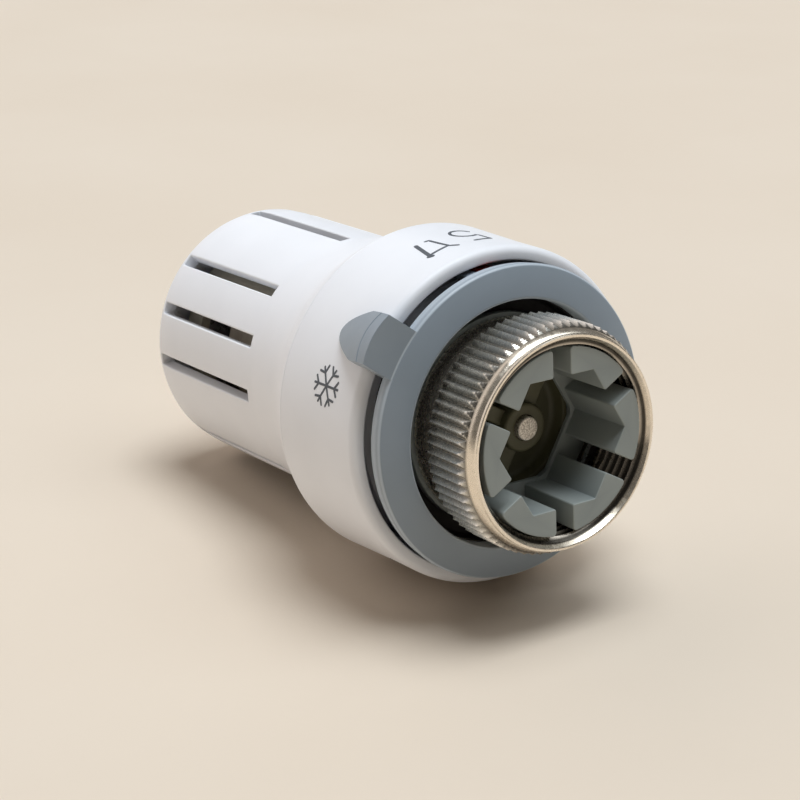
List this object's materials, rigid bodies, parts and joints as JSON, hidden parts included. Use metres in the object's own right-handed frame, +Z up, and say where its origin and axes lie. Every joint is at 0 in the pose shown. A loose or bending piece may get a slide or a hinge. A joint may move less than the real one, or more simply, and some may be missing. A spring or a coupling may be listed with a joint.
{
  "type": "thermostatic radiator valve head",
  "caption": "Thermostatic radiator valve head with vented white handle, grey pointer collar, knurled union nut, fingered collet and sprung pressure pin.",
  "frame": {"origin": "centre of the union nut's mouth, on the head's axis", "axes": "+X out of the nut's mouth, towards the valve body; +Z up as the head lies or as it hangs on a horizontal valve stub; the body runs back towards -X"},
  "size_m": [0.0896, 0.0516, 0.0516],
  "materials": {
    "white_abs": "satin moulded",
    "blue_grey_abs": "satin moulded",
    "grey_pa": "fine texture",
    "black_pa": "matt",
    "olive_pa": "glass-filled, dull",
    "red_pom": "satin",
    "natural_pom": "satin",
    "nickel_brass": "nickel plated",
    "spring_steel": "drawn wire",
    "pin_steel": "turned",
    "brass": "drawn",
    "can_aluminium": "deep drawn"
  },
  "bodies": {
    "base": {"pointer_collar": "blue_grey_abs", "limit_clip": "red_pom", "base_barrel": "black_pa", "collet_insert": "grey_pa", "nut_snap_ring": "spring_steel", "pin_guide": "olive_pa", "pin_return_spring": "spring_steel"},
    "nut": {"union_nut": "nickel_brass"},
    "carrier": {"sensor_carrier": "natural_pom", "thrust_washer": "black_pa", "spring_retainer": "spring_steel", "overtravel_spring": "spring_steel"},
    "handle": {"handle_drum": "white_abs", "vented_sleeve": "white_abs"},
    "sensor": {"sensor_can": "can_aluminium", "sensor_end_plate": "brass", "fill_plug": "brass", "sensor_bellows": "brass"},
    "pin": {"sensor_piston": "pin_steel", "piston_pad": "natural_pom", "pin_stem": "olive_pa", "pin_tip": "pin_steel"}
  },
  "joints": [
    {"name": "nut_spin", "type": "hinge", "parent": "base", "child": "nut", "pos_m": [-0.007, 0, 0], "axis": [1, 0, 0], "continuous": true},
    {"name": "carrier_slide", "type": "slide", "parent": "base", "child": "carrier", "axis": [-1, 0, 0], "range_m": [0, 0.00493]},
    {"name": "handle_turn", "type": "hinge", "parent": "carrier", "child": "handle", "pos_m": [-0.045, 0, 0], "axis": [-1, 0, 0], "range_deg": [0, 317]},
    {"name": "sensor_overtravel", "type": "slide", "parent": "carrier", "child": "sensor", "axis": [-1, 0, 0], "range_m": [0, 0.003], "stiffness_N_per_m": 8000, "springref_m": -0.003, "deforming": ["overtravel_spring"]},
    {"name": "pin_stroke", "type": "slide", "parent": "sensor", "child": "pin", "axis": [1, 0, 0], "range_m": [0, 0.0035], "stiffness_N_per_m": 500, "springref_m": -0.004, "deforming": ["pin_return_spring", "sensor_bellows"]}
  ],
  "couplings": [
    {"joint": "handle_turn", "follows": "carrier_slide", "rad_per_m": 1122}
  ]
}
